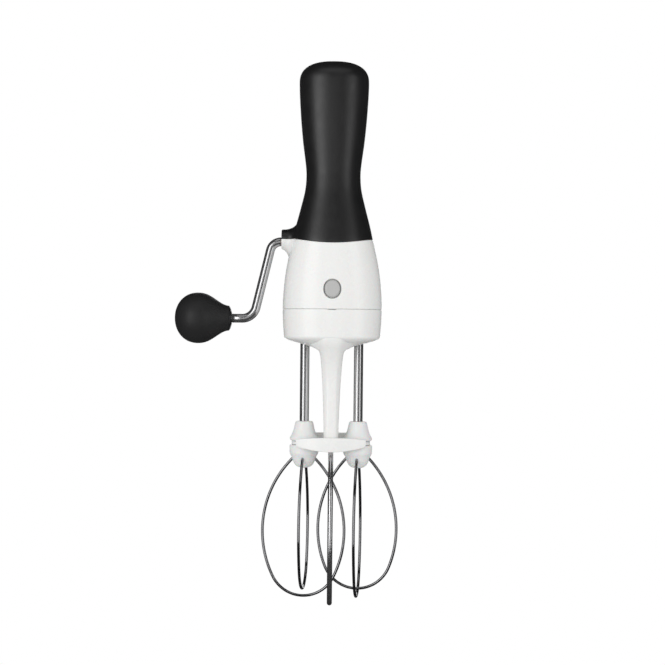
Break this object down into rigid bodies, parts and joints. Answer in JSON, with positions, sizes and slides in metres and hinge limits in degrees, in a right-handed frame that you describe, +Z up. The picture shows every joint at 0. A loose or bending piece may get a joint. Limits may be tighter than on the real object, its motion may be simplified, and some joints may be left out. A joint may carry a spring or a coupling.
{
  "type": "egg beater",
  "caption": "Hand-crank egg beater with a rubber grip, geared white body, side crank with a pear knob and twin wire beaters.",
  "frame": {"origin": "on the grip's middle axis at its waist, where a hand holds the tool", "axes": "+Z up along the grip with the beaters pointing down, -X toward the crank and its knob, -Y toward the release button"},
  "size_m": [0.1262, 0.0476, 0.3049],
  "materials": {
    "soft_rubber": "matt soft-touch rubber with a fine grain",
    "pale_silicone": "moulded silicone, matt",
    "black_plastic": "moulded, satin",
    "white_plastic": "moulded, glossy",
    "inner_plastic": "moulded, matt",
    "grey_plastic": "moulded, satin",
    "frosted_nylon": "natural nylon, slightly frosted",
    "gear_nylon": "moulded acetal",
    "polished_steel": "polished stainless",
    "wire_steel": "drawn stainless wire",
    "bush_brass": "turned",
    "fastener_steel": "zinc plated"
  },
  "bodies": {
    "handle_unit": {"grip": "soft_rubber", "handle_core": "inner_plastic", "core_screws": "fastener_steel", "upper_housing": "white_plastic", "gear_frame": "inner_plastic", "frame_screws": "fastener_steel", "crank_bush": "bush_brass", "left_drive_bush": "bush_brass", "right_drive_bush": "bush_brass", "button_retainer": "inner_plastic", "button_spring": "fastener_steel"},
    "button": {"release_button": "grey_plastic"},
    "crank": {"crank_rod": "polished_steel", "left_drive_gear": "gear_nylon", "right_drive_gear": "gear_nylon", "gear_pins": "fastener_steel", "crank_clips": "fastener_steel", "knob_clip": "fastener_steel"},
    "knob": {"knob_grip": "soft_rubber", "knob_core": "black_plastic"},
    "left_drive": {"left_pinion": "gear_nylon", "left_coupler": "fastener_steel", "left_coupler_clip": "fastener_steel"},
    "right_drive": {"right_pinion": "gear_nylon", "right_coupler": "fastener_steel", "right_coupler_clip": "fastener_steel"},
    "beater_unit": {"lower_housing": "white_plastic", "lower_cover": "inner_plastic", "cover_screws": "fastener_steel", "release_tongue": "inner_plastic", "seal_ring": "pale_silicone", "crossbar": "white_plastic", "bar_screw": "fastener_steel", "guard_wire": "wire_steel", "left_shaft_bush": "bush_brass", "right_shaft_bush": "bush_brass", "left_bar_bush": "frosted_nylon", "right_bar_bush": "frosted_nylon"},
    "left_beater": {"left_shaft": "polished_steel", "left_shaft_clip": "fastener_steel", "left_cone": "frosted_nylon", "left_hub": "frosted_nylon", "left_outer_loop": "wire_steel", "left_inner_loop": "wire_steel"},
    "right_beater": {"right_shaft": "polished_steel", "right_shaft_clip": "fastener_steel", "right_cone": "frosted_nylon", "right_hub": "frosted_nylon", "right_outer_loop": "wire_steel", "right_inner_loop": "wire_steel"}
  },
  "joints": [
    {"name": "crank_turn", "type": "hinge", "parent": "handle_unit", "child": "crank", "pos_m": [0, 0, -0.0372], "axis": [1, 0, 0], "continuous": true},
    {"name": "knob_spin", "type": "hinge", "parent": "crank", "child": "knob", "pos_m": [-0.072, 0, -0.0804], "axis": [1, 0, 0], "continuous": true},
    {"name": "left_drive_spin", "type": "hinge", "parent": "handle_unit", "child": "left_drive", "pos_m": [-0.0151, 0, -0.0502], "axis": [0, 0, 1], "continuous": true},
    {"name": "right_drive_spin", "type": "hinge", "parent": "handle_unit", "child": "right_drive", "pos_m": [0.0151, 0, -0.0502], "axis": [0, 0, 1], "continuous": true},
    {"name": "left_beater_spin", "type": "hinge", "parent": "beater_unit", "child": "left_beater", "pos_m": [-0.0151, 0, -0.15], "axis": [0, 0, 1], "continuous": true},
    {"name": "right_beater_spin", "type": "hinge", "parent": "beater_unit", "child": "right_beater", "pos_m": [0.0151, 0, -0.15], "axis": [0, 0, 1], "continuous": true},
    {"name": "button_press", "type": "slide", "parent": "handle_unit", "child": "button", "axis": [0, 1, 0], "range_m": [0, 0.002], "stiffness_N_per_m": 600, "springref_m": -0.001, "deforming": ["button_spring", "release_tongue"]},
    {"name": "unit_release", "type": "slide", "parent": "handle_unit", "child": "beater_unit", "axis": [0, 0, -1], "range_m": [0, 0.03], "deforming": ["release_tongue"]}
  ],
  "couplings": [
    {"joint": "left_drive_spin", "follows": "crank_turn", "ratio": 4},
    {"joint": "right_drive_spin", "follows": "crank_turn", "ratio": -4},
    {"joint": "left_beater_spin", "follows": "crank_turn", "ratio": 4},
    {"joint": "right_beater_spin", "follows": "crank_turn", "ratio": -4}
  ]
}
